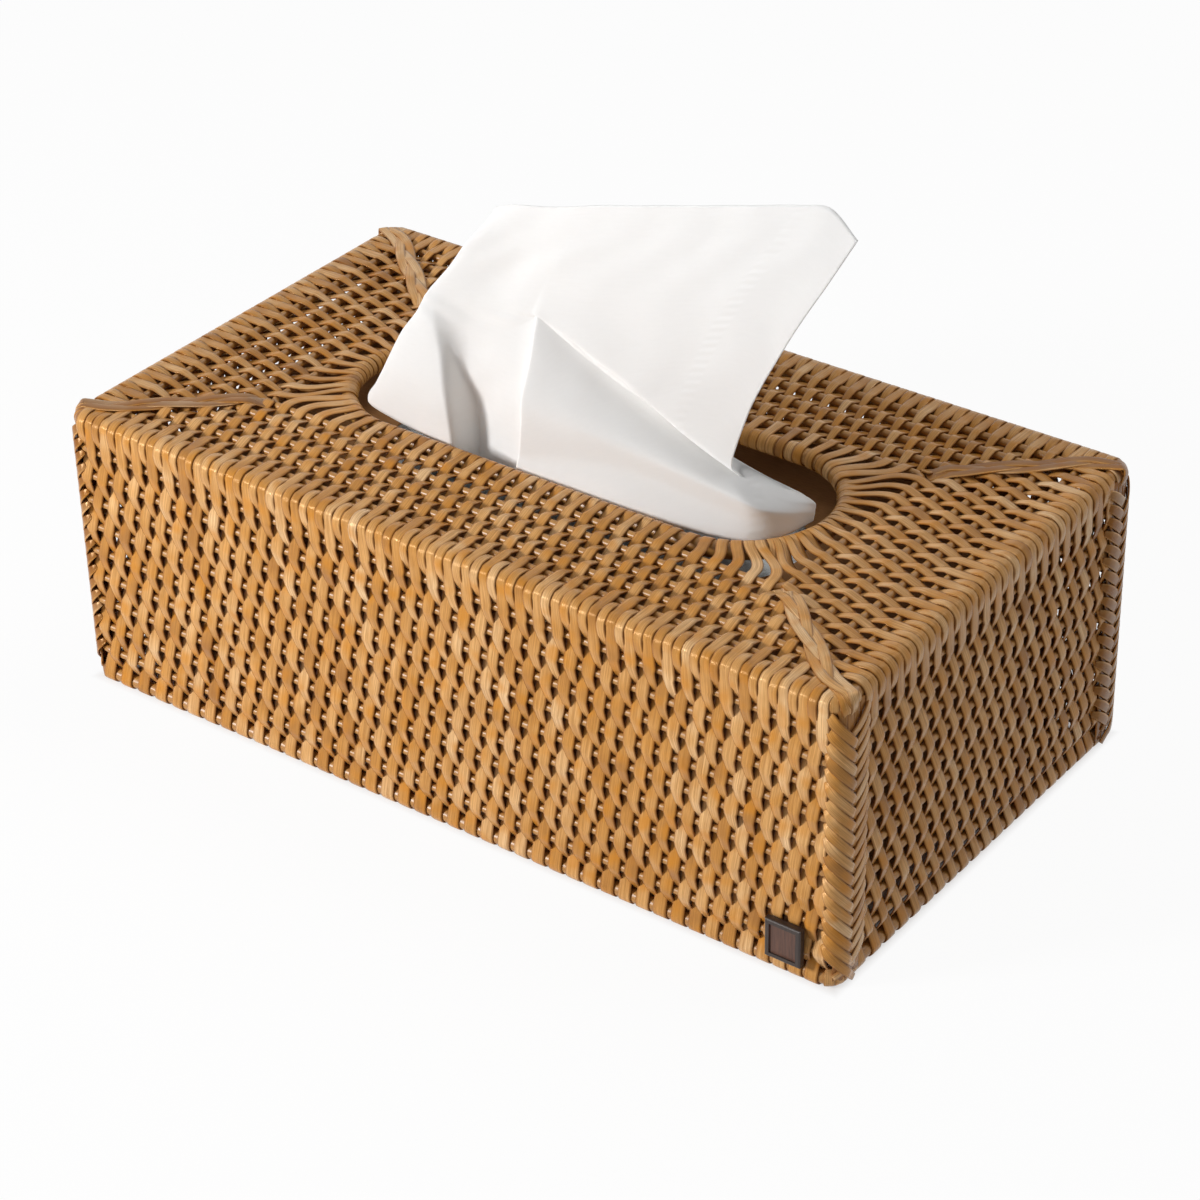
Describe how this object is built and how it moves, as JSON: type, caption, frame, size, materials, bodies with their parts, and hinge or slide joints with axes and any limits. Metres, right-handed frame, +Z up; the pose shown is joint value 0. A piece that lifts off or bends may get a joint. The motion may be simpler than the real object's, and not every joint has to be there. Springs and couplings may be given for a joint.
{
  "type": "tissue box cover",
  "caption": "Woven rattan tissue box cover with an oval top opening, open below, set over a carton of tissues with a sheet drawn up through the opening.",
  "frame": {"origin": "middle of the carton's base, on the table that the cover stands on", "axes": "+Z up, +X along the cover's length, -Y towards the front wall that carries the tag"},
  "size_m": [0.26, 0.1491, 0.1841],
  "materials": {
    "rattan_strip": "varnished",
    "rattan_rod": "varnished",
    "dark_wood": "oiled",
    "board": "matte",
    "film": "clear",
    "tissue": "matte"
  },
  "bodies": {
    "tissue_pack": {"carton": "board", "carton_film": "film", "tissue_stack": "tissue"},
    "cover": {"back_top_weave": "rattan_strip", "back_wall_weave": "rattan_strip", "base_rod": "rattan_rod", "corner_cap_back_left": "rattan_strip", "corner_cap_back_right": "rattan_strip", "corner_cap_front_left": "rattan_strip", "corner_cap_front_right": "rattan_strip", "corner_plait_back_left": "rattan_strip", "corner_plait_back_right": "rattan_strip", "corner_plait_front_left": "rattan_strip", "corner_plait_front_right": "rattan_strip", "edge_rod": "rattan_rod", "front_top_weave": "rattan_strip", "front_wall_weave": "rattan_strip", "left_top_weave": "rattan_strip", "left_wall_weave": "rattan_strip", "mitre_braid_back_left": "rattan_strip", "mitre_braid_back_right": "rattan_strip", "mitre_braid_front_left": "rattan_strip", "mitre_braid_front_right": "rattan_strip", "right_top_weave": "rattan_strip", "right_wall_weave": "rattan_strip", "rim_rod": "rattan_rod", "rim_wrap_left": "rattan_strip", "rim_wrap_right": "rattan_strip", "tag": "dark_wood", "top_rod_1": "rattan_rod", "top_rod_2": "rattan_rod", "top_rod_3": "rattan_rod", "top_rod_4": "rattan_rod", "top_rod_5": "rattan_rod", "wall_rod_1": "rattan_rod", "wall_rod_2": "rattan_rod", "wall_rod_3": "rattan_rod", "wall_rod_4": "rattan_rod", "wall_rod_5": "rattan_rod", "wall_rod_6": "rattan_rod", "wall_rod_7": "rattan_rod", "wall_rod_8": "rattan_rod", "wall_rod_9": "rattan_rod"},
    "tissue": {"pulled_tissue": "tissue"}
  },
  "joints": [
    {"name": "cover_lift", "type": "slide", "parent": "tissue_pack", "child": "cover", "axis": [0, 0, 1], "range_m": [0, 0.08]},
    {"name": "tissue_pull", "type": "slide", "parent": "cover", "child": "tissue", "axis": [0, 0, 1], "range_m": [0, 0.04]}
  ]
}
